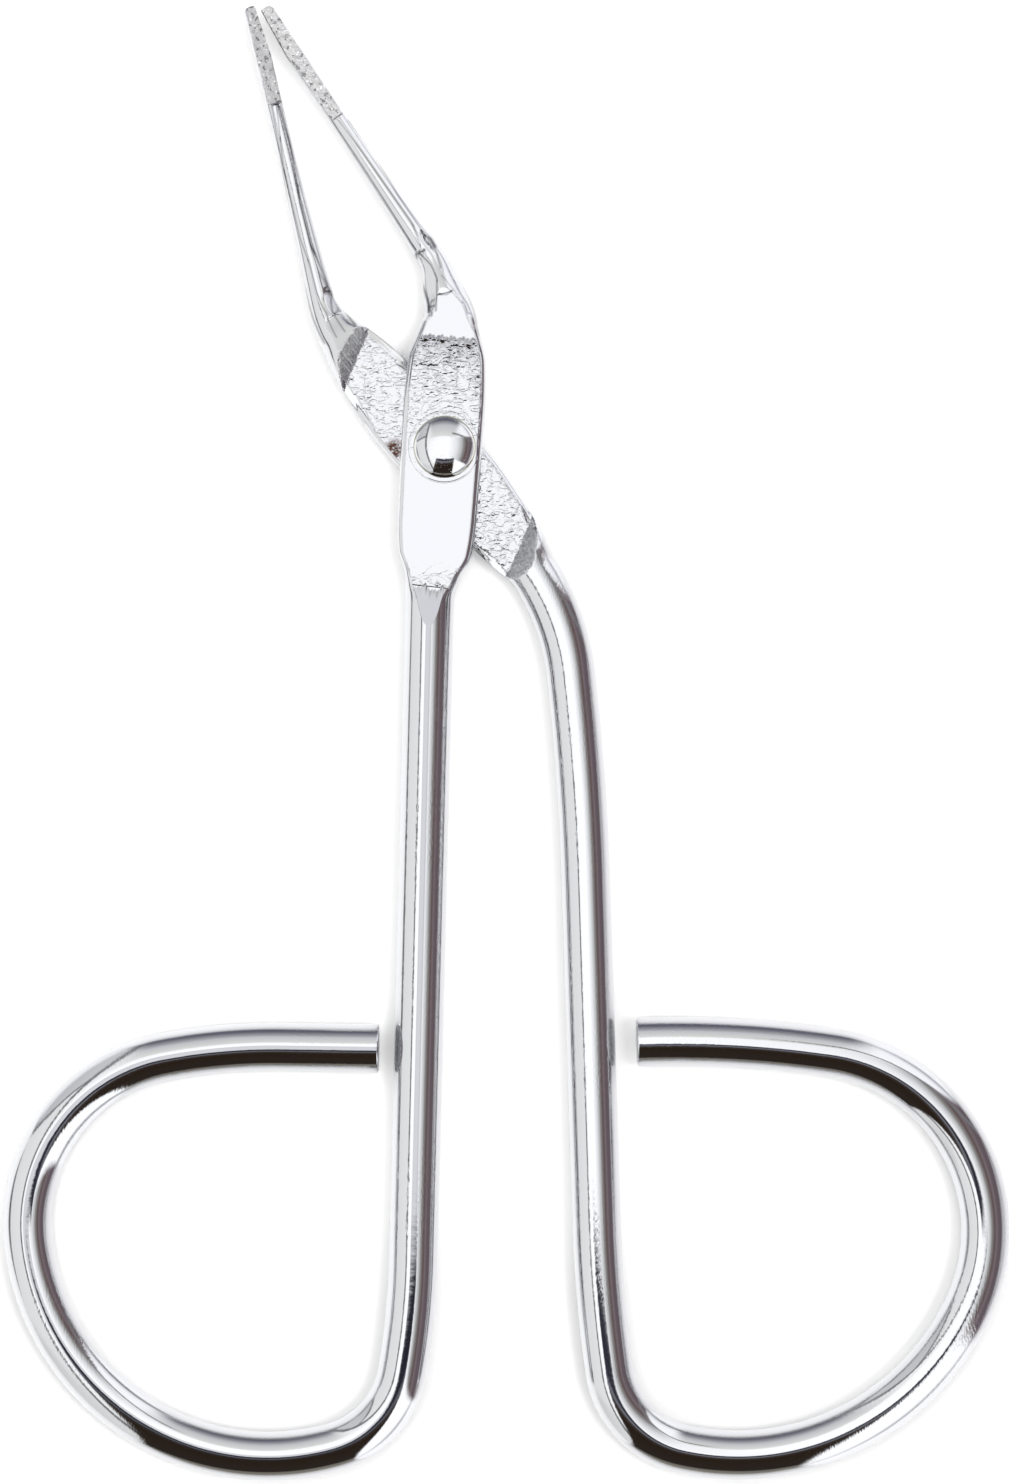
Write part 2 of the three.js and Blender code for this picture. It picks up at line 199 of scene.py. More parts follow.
def build_studio():
    """The tent with its dark cards; the camera looks in through it and sees plain white beyond."""
    centre = [across * MM for across in (*TENT_CENTRE, 0)]
    material = bpy.data.materials.new("studio_tent")
    material.use_nodes = True
    material.cycles.emission_sampling = "NONE"
    tree = material.node_tree
    tree.nodes.clear()
    place = add(tree, "ShaderNodeNewGeometry").outputs["Position"]
    outward = add(tree, "ShaderNodeVectorMath", {0: place, 1: centre}, operation="SUBTRACT")
    direction = add(tree, "ShaderNodeVectorMath", {0: outward.outputs[0]}, operation="NORMALIZE")
    raised = add(tree, "ShaderNodeVectorMath", {0: direction.outputs[0], 1: (0, 0, 1)},
                 operation="ADD")
    tilt = add(tree, "ShaderNodeVectorMath", {0: raised.outputs[0]}, operation="NORMALIZE")
    flat = add(tree, "ShaderNodeVectorMath", {0: tilt.outputs[0], 1: (1, 1, 0)}, operation="MULTIPLY")
    reach = add(tree, "ShaderNodeVectorMath", {0: flat.outputs[0]}, operation="LENGTH")
    ramp = add(tree, "ShaderNodeValToRGB", {"Fac": reach.outputs["Value"]})
    paint_ramp(ramp.color_ramp, TENT)
    colour = ramp.outputs["Color"]

    for facing, low_edge, high_edge, softness, stops in CARDS:
        turn = math.radians(facing)
        down = add(tree, "ShaderNodeVectorMath", {
            0: flat.outputs[0], 1: (math.cos(turn), math.sin(turn), 0)}, operation="DOT_PRODUCT")
        across = add(tree, "ShaderNodeVectorMath", {
            0: flat.outputs[0], 1: (-math.sin(turn), math.cos(turn), 0)}, operation="DOT_PRODUCT")
        ramp = add(tree, "ShaderNodeValToRGB", {"Fac": down.outputs["Value"]})
        paint_ramp(ramp.color_ramp, stops)
        share = add(tree, "ShaderNodeMapRange", {
            "Value": down.outputs["Value"], "From Min": stops[0][0] - CARD_LIP,
            "From Max": stops[0][0] + CARD_LIP}, interpolation_type="SMOOTHSTEP").outputs[0]
        for (edge, spread), soft in ((low_edge, softness), (high_edge, -softness)):
            beside = add(tree, "ShaderNodeMath", {
                0: down.outputs["Value"], 1: -spread, 2: across.outputs["Value"]},
                operation="MULTIPLY_ADD")
            inside = add(tree, "ShaderNodeMapRange", {
                "Value": beside.outputs[0], "From Min": edge - soft, "From Max": edge + soft},
                interpolation_type="SMOOTHSTEP")
            share = add(tree, "ShaderNodeMath", {0: share, 1: inside.outputs[0]},
                        operation="MULTIPLY").outputs[0]
        mix = add(tree, "ShaderNodeMix", {0: share, 6: colour, 7: ramp.outputs["Color"]},
                  data_type="RGBA")
        colour = mix.outputs[2]

    sides = add(tree, "ShaderNodeSeparateXYZ", {0: tilt.outputs[0]})
    off_seam = add(tree, "ShaderNodeMath", {0: sides.outputs["Y"], 1: SEAM_TILT}, operation="SUBTRACT")
    off_seam = add(tree, "ShaderNodeMath", {0: off_seam.outputs[0]}, operation="ABSOLUTE")
    on_seam = add(tree, "ShaderNodeMapRange", {
        "Value": off_seam.outputs[0], "From Min": SEAM_HALF_WIDTH, "From Max": 0.0,
    }, interpolation_type="SMOOTHSTEP")
    off_gap = add(tree, "ShaderNodeMath", {0: sides.outputs["X"], 1: SEAM_GAP[0]}, operation="SUBTRACT")
    off_gap = add(tree, "ShaderNodeMath", {0: off_gap.outputs[0]}, operation="ABSOLUTE")
    past_gap = add(tree, "ShaderNodeMapRange", {
        "Value": off_gap.outputs[0], "From Min": SEAM_GAP[1], "From Max": SEAM_GAP[1] + SEAM_END_SOFTNESS,
    }, interpolation_type="SMOOTHSTEP")
    seam = add(tree, "ShaderNodeMath", {0: on_seam.outputs[0], 1: past_gap.outputs[0]},
               operation="MULTIPLY")
    colour = add(tree, "ShaderNodeMix", {0: seam.outputs[0], 6: colour, 7: srgb(SEAM_COLOUR)},
                 data_type="RGBA").outputs[2]
    glow = add(tree, "ShaderNodeEmission", {"Color": colour, "Strength": STUDIO_STRENGTH})
    add(tree, "ShaderNodeOutputMaterial", {"Surface": glow.outputs[0]})
    hang_tent(material, centre)

    world = bpy.data.worlds.new("plain_white")
    bpy.context.scene.world = world
    world.use_nodes = True
    tree = world.node_tree
    tree.nodes.clear()
    path = add(tree, "ShaderNodeLightPath")
    plain = add(tree, "ShaderNodeBackground", {
        "Color": srgb("#FFFFFF"), "Strength": path.outputs["Is Camera Ray"]})
    add(tree, "ShaderNodeOutputWorld", {"Surface": plain.outputs[0]})


def hang_tent(material, centre):
    points, faces = [], []
    for ring in range(TENT_RINGS):
        rise = math.pi / 2 * ring / TENT_RINGS
        for k in range(TENT_SIDES):
            turn = 2 * math.pi * k / TENT_SIDES
            points.append((centre[0] + TENT_RADIUS * MM * math.cos(rise) * math.cos(turn),
                           centre[1] + TENT_RADIUS * MM * math.cos(rise) * math.sin(turn),
                           TENT_RADIUS * MM * math.sin(rise)))
            a, b = ring * TENT_SIDES + k, ring * TENT_SIDES + (k + 1) % TENT_SIDES
            if ring:
                faces.append((a - TENT_SIDES, a, b, b - TENT_SIDES))
    last = (TENT_RINGS - 1) * TENT_SIDES
    points.append((centre[0], centre[1], TENT_RADIUS * MM))
    for k in range(TENT_SIDES):
        faces.append((last + k, len(points) - 1, last + (k + 1) % TENT_SIDES))
    mesh = bpy.data.meshes.new("studio_tent")
    mesh.from_pydata(points, [], faces)
    mesh.materials.append(material)
    tent = bpy.data.objects.new("studio_tent", mesh)
    tent.visible_camera = False
    tent.visible_shadow = False
    bpy.context.scene.collection.objects.link(tent)


# Soft lights: a name, the strength, the width of the light as the board sees it, and its lean from
# overhead to the right, all in degrees. The chrome mirrors the tent and not these.
LIGHTS = [("soft_key", 0.8, 16, 19), ("soft_fill", 2.1, 80, 0)]


def hang_lights():
    for name, strength, spread, lean in LIGHTS:
        light = bpy.data.lights.new(name, "SUN")
        light.energy = strength
        light.angle = math.radians(spread)
        holder = bpy.data.objects.new(name, light)
        holder.rotation_euler = (0, math.radians(lean), 0)
        holder.visible_glossy = False
        bpy.context.scene.collection.objects.link(holder)


BOARD_HALF_SIZE = 1500
BOARD_CORNER = 60


def lay_board():
    """The white gloss board, a rounded sheet that reaches past everything the chrome mirrors."""
    outline = []
    for quarter in range(4):
        for step in range(9):
            angle = math.radians(90 * quarter + 90 * step / 8)
            side = [math.copysign(BOARD_HALF_SIZE - BOARD_CORNER, f(math.radians(90 * quarter + 45)))
                    for f in (math.cos, math.sin)]
            outline.append(((side[0] + BOARD_CORNER * math.cos(angle)) * MM,
                            (side[1] + BOARD_CORNER * math.sin(angle)) * MM, 0))
    mesh = bpy.data.meshes.new("board")
    mesh.from_pydata(outline, [], [list(range(len(outline)))])
    board = bpy.data.objects.new("board", mesh)
    bpy.context.scene.collection.objects.link(board)
    mesh.materials.append(white_gloss_board())


def white_gloss_board():
    """White card under polished glass: plain white from above, and a mirror at a low angle."""
    material = bpy.data.materials.new("white_gloss_board")
    material.use_nodes = True
    tree = material.node_tree
    shader = tree.nodes["Principled BSDF"]
    shader.inputs["Base Color"].default_value = srgb("#FAFAFA")
    shader.inputs["Roughness"].default_value = 0.05
    shader.inputs["IOR"].default_value = 1.5
    shader.inputs["Coat Weight"].default_value = 1.0
    shader.inputs["Coat Roughness"].default_value = 0.02
    shader.inputs["Coat IOR"].default_value = 1.5
    return material


# ---- Finishes ----

CHROME = "#D0D1D4"  # bright nickel-chrome plate
CHROME_ROUGHNESS = 0.045


def plated(name, colour=CHROME, roughness=CHROME_ROUGHNESS):
    """A material of bright plate, with its node tree, its shader and the surface's place in mm."""
    material = bpy.data.materials.new(name)
    material.use_nodes = True
    tree = material.node_tree
    shader = tree.nodes["Principled BSDF"]
    shader.inputs["Base Color"].default_value = srgb(colour)
    shader.inputs["Metallic"].default_value = 1.0
    shader.inputs["Roughness"].default_value = roughness
    place = add(tree, "ShaderNodeTexCoord").outputs["Object"]
    in_mm = add(tree, "ShaderNodeVectorMath", {0: place, "Scale": 1 / MM}, operation="SCALE")
    return material, tree, shader, in_mm.outputs[0]


CREASE_SHADE = "#2C2A2D"  # painted shade: the near black laid into the colour along the creases between forged faces


# Paints shade into the base colour where the crease map is high: near black along the creases between
# forged faces.
def paint_crease_shade(tree, shader, colour):
    crease_and_shade = add(tree, "ShaderNodeAttribute", attribute_name="crease_and_shade").outputs["Fac"]
    mixed = add(tree, "ShaderNodeMix", {0: crease_and_shade, 6: colour, 7: srgb(CREASE_SHADE)}, data_type="RGBA")
    tree.links.new(mixed.outputs[2], shader.inputs["Base Color"])


def chrome_on_drawn_wire():
    """Bright chrome over cold-drawn steel wire. Drawing leaves the wire smooth, so it mirrors the
    studio in clean bands, with a faint waviness and hairline rub marks from use."""
    material, tree, shader, place = plated("chrome_on_drawn_wire")
    waviness = add(tree, "ShaderNodeTexNoise", {"Vector": place, "Scale": 1 / 2.4, "Detail": 1.0})
    along_draw = add(tree, "ShaderNodeVectorMath", {0: place, 1: (1, 1 / 3, 1)}, operation="MULTIPLY")
    draw_lines = add(tree, "ShaderNodeTexNoise", {"Vector": along_draw, "Scale": 1 / 0.11, "Detail": 1.0})
    patches = add(tree, "ShaderNodeTexNoise", {"Vector": place, "Scale": 1 / 7.0, "Detail": 1.5})
    rubbed = add(tree, "ShaderNodeMapRange", {
        "Value": patches, "From Min": 0.42, "From Max": 0.68, "To Min": 0.15, "To Max": 1.0,
    }, interpolation_type="SMOOTHSTEP")
    worn = add(tree, "ShaderNodeMath", {0: draw_lines, 1: rubbed}, operation="MULTIPLY")
    roughness = add(tree, "ShaderNodeMath", {0: worn, 1: 0.06, 2: CHROME_ROUGHNESS},
                    operation="MULTIPLY_ADD")
    tree.links.new(roughness.outputs[0], shader.inputs["Roughness"])
    swell = add(tree, "ShaderNodeMath", {0: waviness, 1: 0.004}, operation="MULTIPLY")
    height = add(tree, "ShaderNodeMath", {0: worn, 1: 0.006, 2: swell}, operation="MULTIPLY_ADD")
    bump = add(tree, "ShaderNodeBump", {"Height": height, "Distance": MM, "Strength": 1.0})
    tree.links.new(bump.outputs[0], shader.inputs["Normal"])
    paint_crease_shade(tree, shader, srgb(CHROME))
    return material


PLATE_CHROME = "#CACBCF"
PLATE_STAIN = "#5A3A30"  # the brown stain beside the rivet
PLATE_DULL = "#94949A"  # where the die dragged the steel and the polish didn't reach
DIE_RING = (2.2, 2.27, 2.28, 2.35)  # radii across the ring that the rivet's heading tool pressed


def chrome_on_forged_plate():
    """Bright chrome over a face squeezed flat in a die. The steel flowed as it spread, so the plate
    over it is wrinkled like orange peel, worst where the mask says that the die dragged."""
    material, tree, shader, place = plated("chrome_on_forged_plate", roughness=0.07)
    coarse = add(tree, "ShaderNodeAttribute", attribute_name="coarse").outputs["Fac"]
    stain = add(tree, "ShaderNodeAttribute", attribute_name="stain").outputs["Fac"]
    dull = add(tree, "ShaderNodeAttribute", attribute_name="dull").outputs["Fac"]
    # Wrinkles lie across the plate, where the steel flowed most, so their places are squeezed.
    squeezed = add(tree, "ShaderNodeVectorMath", {0: place, 1: (1 / 1.7, 1, 1)}, operation="MULTIPLY")
    closer = add(tree, "ShaderNodeVectorMath", {0: place, 1: (1 / 1.3, 1, 1)}, operation="MULTIPLY")
    peel = add(tree, "ShaderNodeTexNoise", {"Vector": squeezed, "Scale": 1 / 0.36, "Detail": 1.6})
    pits = add(tree, "ShaderNodeTexNoise", {"Vector": closer, "Scale": 1 / 0.16, "Detail": 2.0})
    swell = add(tree, "ShaderNodeTexNoise", {"Vector": place, "Scale": 1 / 1.6, "Detail": 1.0})
    folds = add(tree, "ShaderNodeTexNoise", {"Vector": squeezed, "Scale": 1 / 0.6, "Detail": 1.5})
    off_fold = add(tree, "ShaderNodeMath", {0: folds, 1: 0.5}, operation="SUBTRACT")
    off_fold = add(tree, "ShaderNodeMath", {0: off_fold}, operation="ABSOLUTE")
    fold = add(tree, "ShaderNodeMapRange", {"Value": off_fold, "From Min": 0.035, "From Max": 0.0},
               interpolation_type="SMOOTHSTEP")
    pit = add(tree, "ShaderNodeMapRange", {"Value": pits, "From Min": 0.42, "From Max": 0.6},
              interpolation_type="SMOOTHSTEP")
    # The three kinds of relief that the mask brings out, in mm, then the two that are everywhere.
    rough = add(tree, "ShaderNodeMath", {0: peel, 1: 0.17}, operation="MULTIPLY")
    rough = add(tree, "ShaderNodeMath", {0: fold, 1: -0.016, 2: rough}, operation="MULTIPLY_ADD")
    rough = add(tree, "ShaderNodeMath", {0: pit, 1: 0.006, 2: rough}, operation="MULTIPLY_ADD")
    height = add(tree, "ShaderNodeMath", {0: rough, 1: coarse}, operation="MULTIPLY")
    height = add(tree, "ShaderNodeMath", {0: swell, 1: 0.006, 2: height}, operation="MULTIPLY_ADD")
    height = add(tree, "ShaderNodeMath", {0: peel, 1: 0.0022, 2: height}, operation="MULTIPLY_ADD")
    flat = add(tree, "ShaderNodeVectorMath", {0: place, 1: (1, 1, 0)}, operation="MULTIPLY")
    out = add(tree, "ShaderNodeVectorMath", {0: flat}, operation="LENGTH").outputs["Value"]
    inner = add(tree, "ShaderNodeMapRange", {
        "Value": out, "From Min": DIE_RING[0], "From Max": DIE_RING[1]}, interpolation_type="SMOOTHSTEP")
    outer = add(tree, "ShaderNodeMapRange", {
        "Value": out, "From Min": DIE_RING[3], "From Max": DIE_RING[2]}, interpolation_type="SMOOTHSTEP")
    ring = add(tree, "ShaderNodeMath", {0: inner, 1: outer}, operation="MULTIPLY")
    height = add(tree, "ShaderNodeMath", {0: ring, 1: -0.012, 2: height}, operation="MULTIPLY_ADD")
    bump = add(tree, "ShaderNodeBump", {"Height": height, "Distance": MM, "Strength": 1.0})
    tree.links.new(bump.outputs[0], shader.inputs["Normal"])
    speckle = add(tree, "ShaderNodeMapRange", {"Value": pits, "From Min": 0.3, "From Max": 0.5},
                  interpolation_type="SMOOTHSTEP")
    stained = add(tree, "ShaderNodeMath", {0: stain, 1: speckle}, operation="MULTIPLY")
    colour = add(tree, "ShaderNodeMix", {0: stained, 6: srgb(PLATE_CHROME), 7: srgb(PLATE_STAIN)},
                 data_type="RGBA").outputs[2]
    colour = add(tree, "ShaderNodeMix", {0: dull, 6: colour, 7: srgb(PLATE_DULL)},
                 data_type="RGBA").outputs[2]
    paint_crease_shade(tree, shader, colour)
    grit = add(tree, "ShaderNodeMath", {0: coarse, 1: 0.03, 2: 0.05}, operation="MULTIPLY_ADD")
    grit = add(tree, "ShaderNodeMath", {0: stain, 1: 0.35, 2: grit}, operation="MULTIPLY_ADD")
    tree.links.new(grit.outputs[0], shader.inputs["Roughness"])
    return material


def chrome_on_ground_tip():
    """Thin chrome over a tip ground on a coarse wheel: grey and pitted, with the pits painted darker as
    painted shade and small spots painted near white as painted glints. The grit is drawn coarser than a
    wheel's, so that it shows."""
    material, tree, shader, place = plated("chrome_on_ground_tip", colour="#B4B4B8", roughness=0.3)
    grit = add(tree, "ShaderNodeTexNoise", {
        "Vector": place, "Scale": 1 / 0.14, "Detail": 3.0, "Roughness": 0.6})
    pits = add(tree, "ShaderNodeTexNoise", {"Vector": place, "Scale": 1 / 0.26, "Detail": 1.0})
    glint_noise = add(tree, "ShaderNodeTexNoise", {"Vector": place, "Scale": 1 / 0.17, "Detail": 0.0})
    pit = add(tree, "ShaderNodeMapRange", {"Value": pits, "From Min": 0.62, "From Max": 0.72},
              interpolation_type="SMOOTHSTEP")
    painted_glint = add(tree, "ShaderNodeMapRange", {"Value": glint_noise, "From Min": 0.71, "From Max": 0.76},
                interpolation_type="SMOOTHSTEP")
    scored_steel = add(tree, "ShaderNodeMath", {0: grit, 1: 0.03}, operation="MULTIPLY")
    height = add(tree, "ShaderNodeMath", {0: pit, 1: -0.05, 2: scored_steel}, operation="MULTIPLY_ADD")
    bump = add(tree, "ShaderNodeBump", {"Height": height, "Distance": MM, "Strength": 1.0})
    tree.links.new(bump.outputs[0], shader.inputs["Normal"])
    # Painted shade: the pits are painted darker. Painted glints: small spots are painted near white.
    grey = add(tree, "ShaderNodeMix", {0: pit, 6: srgb("#C8C8CA"), 7: srgb("#9A9A99")},
               data_type="RGBA").outputs[2]
    grey = add(tree, "ShaderNodeMix", {0: painted_glint, 6: grey, 7: srgb("#F4F4F4")},
               data_type="RGBA").outputs[2]
    paint_crease_shade(tree, shader, grey)
    roughness = add(tree, "ShaderNodeMapRange", {
        "Value": grit, "From Min": 0.35, "From Max": 0.65, "To Min": 0.16, "To Max": 0.42,
    }, interpolation_type="SMOOTHSTEP")
    tree.links.new(roughness.outputs[0], shader.inputs["Roughness"])
    return material


def chrome_on_sheared_steel():
    """Chrome over steel that the die or the cutter tore: dull, with ragged ridges, painted lighter on the
    raised ridges and darker in the hollows between them.
    """
    material, tree, shader, place = plated("chrome_on_sheared_steel", roughness=0.42)
    torn = add(tree, "ShaderNodeTexNoise", {
        "Vector": place, "Scale": 1 / 0.22, "Detail": 3.0, "Roughness": 0.6})
    height = add(tree, "ShaderNodeMath", {0: torn, 1: 0.04}, operation="MULTIPLY")
    bump = add(tree, "ShaderNodeBump", {"Height": height, "Distance": MM, "Strength": 1.0})
    tree.links.new(bump.outputs[0], shader.inputs["Normal"])
    # Painted highlight and shade: the grey follows the relief, lighter on the ridges and darker in the
    # hollows.
    painted_ridge_light = add(tree, "ShaderNodeMapRange", {"Value": torn, "From Min": 0.35, "From Max": 0.65},
                interpolation_type="SMOOTHSTEP")
    grey = add(tree, "ShaderNodeMix", {0: painted_ridge_light, 6: srgb("#C4C6C8"), 7: srgb("#EEEFF0")},
               data_type="RGBA")
    tree.links.new(grey.outputs[2], shader.inputs["Base Color"])
    return material


def chrome_on_rivet_head():
    """Bright chrome over a cold-headed rivet: the cleanest mirror on the tool, its colour a little
    yellower towards the rim."""
    material, tree, shader, place = plated("chrome_on_rivet_head", roughness=0.03)
    swell = add(tree, "ShaderNodeTexNoise", {"Vector": place, "Scale": 1 / 1.1, "Detail": 1.5})
    dust = add(tree, "ShaderNodeTexNoise", {"Vector": place, "Scale": 1 / 0.09, "Detail": 1.0})
    specks = add(tree, "ShaderNodeMapRange", {"Value": dust, "From Min": 0.66, "From Max": 0.74},
                 interpolation_type="SMOOTHSTEP")
    swollen = add(tree, "ShaderNodeMath", {0: swell, 1: 0.006}, operation="MULTIPLY")
    height = add(tree, "ShaderNodeMath", {0: specks, 1: -0.002, 2: swollen}, operation="MULTIPLY_ADD")
    bump = add(tree, "ShaderNodeBump", {"Height": height, "Distance": MM, "Strength": 1.0})
    tree.links.new(bump.outputs[0], shader.inputs["Normal"])
    flat = add(tree, "ShaderNodeVectorMath", {0: place, 1: (1, 1, 0)}, operation="MULTIPLY")
    out = add(tree, "ShaderNodeVectorMath", {0: flat}, operation="LENGTH").outputs["Value"]
    rim = add(tree, "ShaderNodeMapRange", {"Value": out, "From Min": 1.86, "From Max": 1.99},
              interpolation_type="SMOOTHSTEP")
    tint = add(tree, "ShaderNodeMix", {0: rim, 6: srgb(CHROME), 7: srgb("#C9C3A6")}, data_type="RGBA")
    tree.links.new(tint.outputs[2], shader.inputs["Base Color"])
    return material


# ---- Arms: one length of wire each, bent and pressed ----

def straight(length):
    return (length, 0.0)


def bend(radius, turn):
    return (radius * math.radians(abs(turn)), math.radians(turn))


# Runs and bends lead away from the rivet. A plate's stations give its width along the arm as a
# share of PLATE_WIDTH. side is 1 for the plate on top and -1 for the one underneath.
FRONT_ARM = {
    "lean": -3.7,
    "offset": -0.19,
    "side": 1,
    "to_jaw": [straight(8), bend(3, 19.7), straight(2.4), bend(3.5, 17.9), straight(JAW_LENGTH)],
    "plate": [(-8.3, 0.68), (-6.8, 0.9), (-4.7, 0.97), (2.8, 1), (5.5, 0.95), (7.4, 0.77)],
    "to_handle": [
        straight(6), bend(20, -3.6), straight(1.5), bend(12, 5.9), straight(42.3),
        bend(47.6, -8.8), bend(6.05, -63.9), bend(15.55, -99.1), bend(10.83, -86.1),
        bend(38, -11.5), straight(6.2),
    ],
}
REAR_ARM = {
    "lean": 39.8,
    "offset": -0.55,
    "side": -1,
    "to_jaw": [straight(9.9), bend(6, -26.3), straight(JAW_LENGTH)],
    "plate": [(-8, 0.75), (-5.6, 0.87), (-2.5, 0.97), (3, 0.97), (7, 0.81), (8.9, 0.66)],
    "to_handle": [
        straight(8), bend(15.2, -33.3), bend(161, -4.7), straight(22), bend(88, 6.3),
        bend(6.09, 69.6), bend(16.36, 78.7), bend(11.54, 105.3), bend(70, 10.3),
    ],
}


def length_of(runs):
    return sum(length for length, _ in runs)


def follow(x, y, heading, runs, distance):
    """The place and heading at a distance along the runs."""
    for index, (length, turn) in enumerate(runs):
        last = index == len(runs) - 1
        whole = distance if last else min(distance, length)
        turned = turn * whole / length
        chord = 2 * length * math.sin(turned / 2) / turn if turn else whole
        x += chord * math.cos(heading + turned / 2)
        y += chord * math.sin(heading + turned / 2)
        heading += turned
        distance -= whole
        if distance <= 0:
            break
    return x, y, heading


def place_on(arm, along):
    """A point of the arm's middle line, and the way to the jaw there, at a distance from the
    rivet: positive towards the jaw and negative towards the handle."""
    heading = math.pi / 2 + math.radians(arm["lean"])
    x = arm["offset"] * math.sin(heading)
    y = -arm["offset"] * math.cos(heading)
    if along >= 0:
        return follow(x, y, heading, arm["to_jaw"], along)
    x, y, back = follow(x, y, heading + math.pi, arm["to_handle"], -along)
    return x, y, back - math.pi


def smooth_through(stations, at):
    """Values at the given places on a smooth curve through the stations that never overshoots."""
    places = np.array([s[0] for s in stations], float)
    values = np.array([s[1] for s in stations], float)
    rise = np.diff(values) / np.diff(places)
    slope = np.zeros(len(places))
    same_way = rise[:-1] * rise[1:] > 0
    total = np.where(same_way, rise[:-1] + rise[1:], 1)
    slope[1:-1] = np.where(same_way, 2 * rise[:-1] * rise[1:] / total, 0)
    at = np.clip(at, places[0], places[-1])
    k = np.clip(np.searchsorted(places, at, side="right") - 1, 0, len(rise) - 1)
    span = places[k + 1] - places[k]
    t = (at - places[k]) / span
    return ((1 + 2 * t) * (1 - t) ** 2 * values[k] + t * (1 - t) ** 2 * span * slope[k]
            + t ** 2 * (3 - 2 * t) * values[k + 1] - t ** 2 * (1 - t) * span * slope[k + 1])


def stations_of(arm):
    """The arm's width, height and roundness, each as stations along it."""
    tip = length_of(arm["to_jaw"])
    root = tip - JAW_LENGTH
    ends = [-length_of(arm["to_handle"]), -FACE_REACH - 1]
    jaw = [(root - NECK_TAPER, NECK_DIAMETER), (root, JAW_ROOT_DIAMETER),
           (root + JAW_TAPER_LENGTH, JAW_TIP_DIAMETER), (tip, JAW_TIP_DIAMETER)]
    tall = [1, JAW_TALLNESS, JAW_TALLNESS, JAW_TALLNESS]
    width = [(at, WIRE_DIAMETER) for at in ends]
    width += [(at, PLATE_WIDTH * share) for at, share in arm["plate"]] + jaw
    height = [(at, WIRE_DIAMETER) for at in ends]
    height += [(at, WIRE_DIAMETER) for at, _ in arm["plate"]]
    height += [(at, size * k) for (at, size), k in zip(jaw, tall)]
    roundness = [(at, 1) for at in ends]
    roundness += [(at, PLATE_END_ROUNDNESS[arm["side"]] if abs(at) > PLATE_END else PLATE_ROUNDNESS)
                  for at, _ in arm["plate"]]
    roundness += [(at, 1) for at, _ in jaw]
    return width, height, roundness


WIRE_END_ROUND = 0.14
TIP_END_ROUND = 0.34


def section_places(arm):
    """Where along the arm the sections stand: close together where the shape changes fast."""
    handle_end = -length_of(arm["to_handle"])
    tip = length_of(arm["to_jaw"])
    root = tip - JAW_LENGTH
    places = []
    start = 0.0
    for length, turn in arm["to_handle"]:
        step = STEP_IN_BEND if turn else STEP_IN_RUN
        places += list(-np.linspace(start, start + length, max(2, round(length / step))))
        start += length
    places = [p for p in places if p < -FACE_REACH - 5 and p > handle_end + WIRE_END_ROUND]
    places += list(np.arange(-FACE_REACH - 5, root + 1, STEP_IN_LAP))
    face_start = tip - TIP_FACE_LENGTHS[arm["side"]] - 0.5
    places += list(np.arange(root + 1, face_start, STEP_IN_JAW))
    places += list(np.arange(face_start, tip - TIP_END_ROUND, STEP_IN_TIP))
    places += [handle_end + WIRE_END_ROUND * (1 - math.cos(a)) for a in np.linspace(0, math.pi / 2, 6)]
    places += [tip - TIP_END_ROUND * (1 - math.cos(a)) for a in np.linspace(0, math.pi / 2, 8)]
    places = np.array(sorted(places))
    keep = np.ones(len(places), bool)
    inside = slice(8, len(places) - 9)
    keep[inside] = np.diff(places)[7:len(places) - 10] > 0.03
    return places[keep]


def section_angles():
    """The angles of a section's points, closest together across the upper face."""
    parts = [(-30, 30, SIDE_POINTS), (30, 60, CORNER_POINTS), (60, 120, TOP_POINTS),
             (120, 150, CORNER_POINTS), (150, 210, SIDE_POINTS), (210, 240, CORNER_POINTS),
             (240, 300, BOTTOM_POINTS), (300, 330, CORNER_POINTS)]
    angles = [np.linspace(a, b, n, endpoint=False) for a, b, n in parts]
    return np.radians(np.concatenate(angles))


TIP_FACE_LENGTHS = {1: 8.6, -1: 6.5}  # of the front arm and the rear one
TIP_FACE_DEPTH = 0.3  # at the tip, below the top of the round jaw
TIP_FACE_STEP = 0.18  # where the ground face ends, towards the lap
PAD_LENGTH = 3.4
PAD_DEPTH = 0.3
# Painted shade on the front jaw's pad, on the face that faces the rear jaw.
PAD_EDGE_SHADE = 0.8
RAGGED_LENGTH = 0.45  # how far the torn edge of the pressed face reaches along the arm

REAR_TIP_TILT = 13

# Flats that the forging dies and the grinding wheel leave on an arm. Each has its tilt in degrees
# from facing straight up (positive faces the right of the way to the jaw), and stations that give
# its distance from the middle line along the arm.
FRONT_FLATS = [
    (-38, [(8.3, 2.4), (8.9, 1.62), (9.6, 1.38), (11, 1.07), (12.4, 0.9), (13.0, 1.05)]),
    (-27, [(13.2, 1.1), (13.7, 0.875), (18, 0.725), (23.1, 0.556), (23.4, 0.62)]),
]
REAR_FLATS = [
    (10, [(8.5, 2.2), (8.85, 1.35), (10, 1.22), (11.1, 1.08), (11.4, 1.4)]),
    (42, [(10.8, 1.6), (11.15, 1.05), (12, 0.9), (12.9, 0.85), (13.4, 1.0)]),
    (REAR_TIP_TILT, [(23.2, 0.9), (25.2, 0.9), (25.4, 0.42), (31.9, 0.34)]),
]
CLEAR_OF_FLAT = 3.0
FLAT_EDGE = 0.012  # how softly a flat meets the round steel beside it

# Dents: the place along the arm and across it, the size each way, and the depth.
FRONT_DENTS = [
    (13.5, 0.36, 0.55, 0.16, 0.3),
    (12.2, 0.3, 0.7, 0.12, 0.05),
    (12.85, -0.5, 0.1, 0.1, 0.1),
    (12.95, -0.28, 0.08, 0.08, 0.08),
]
REAR_DENTS = [(19.5, 0.55, 0.14, 0.2, 0.06)]
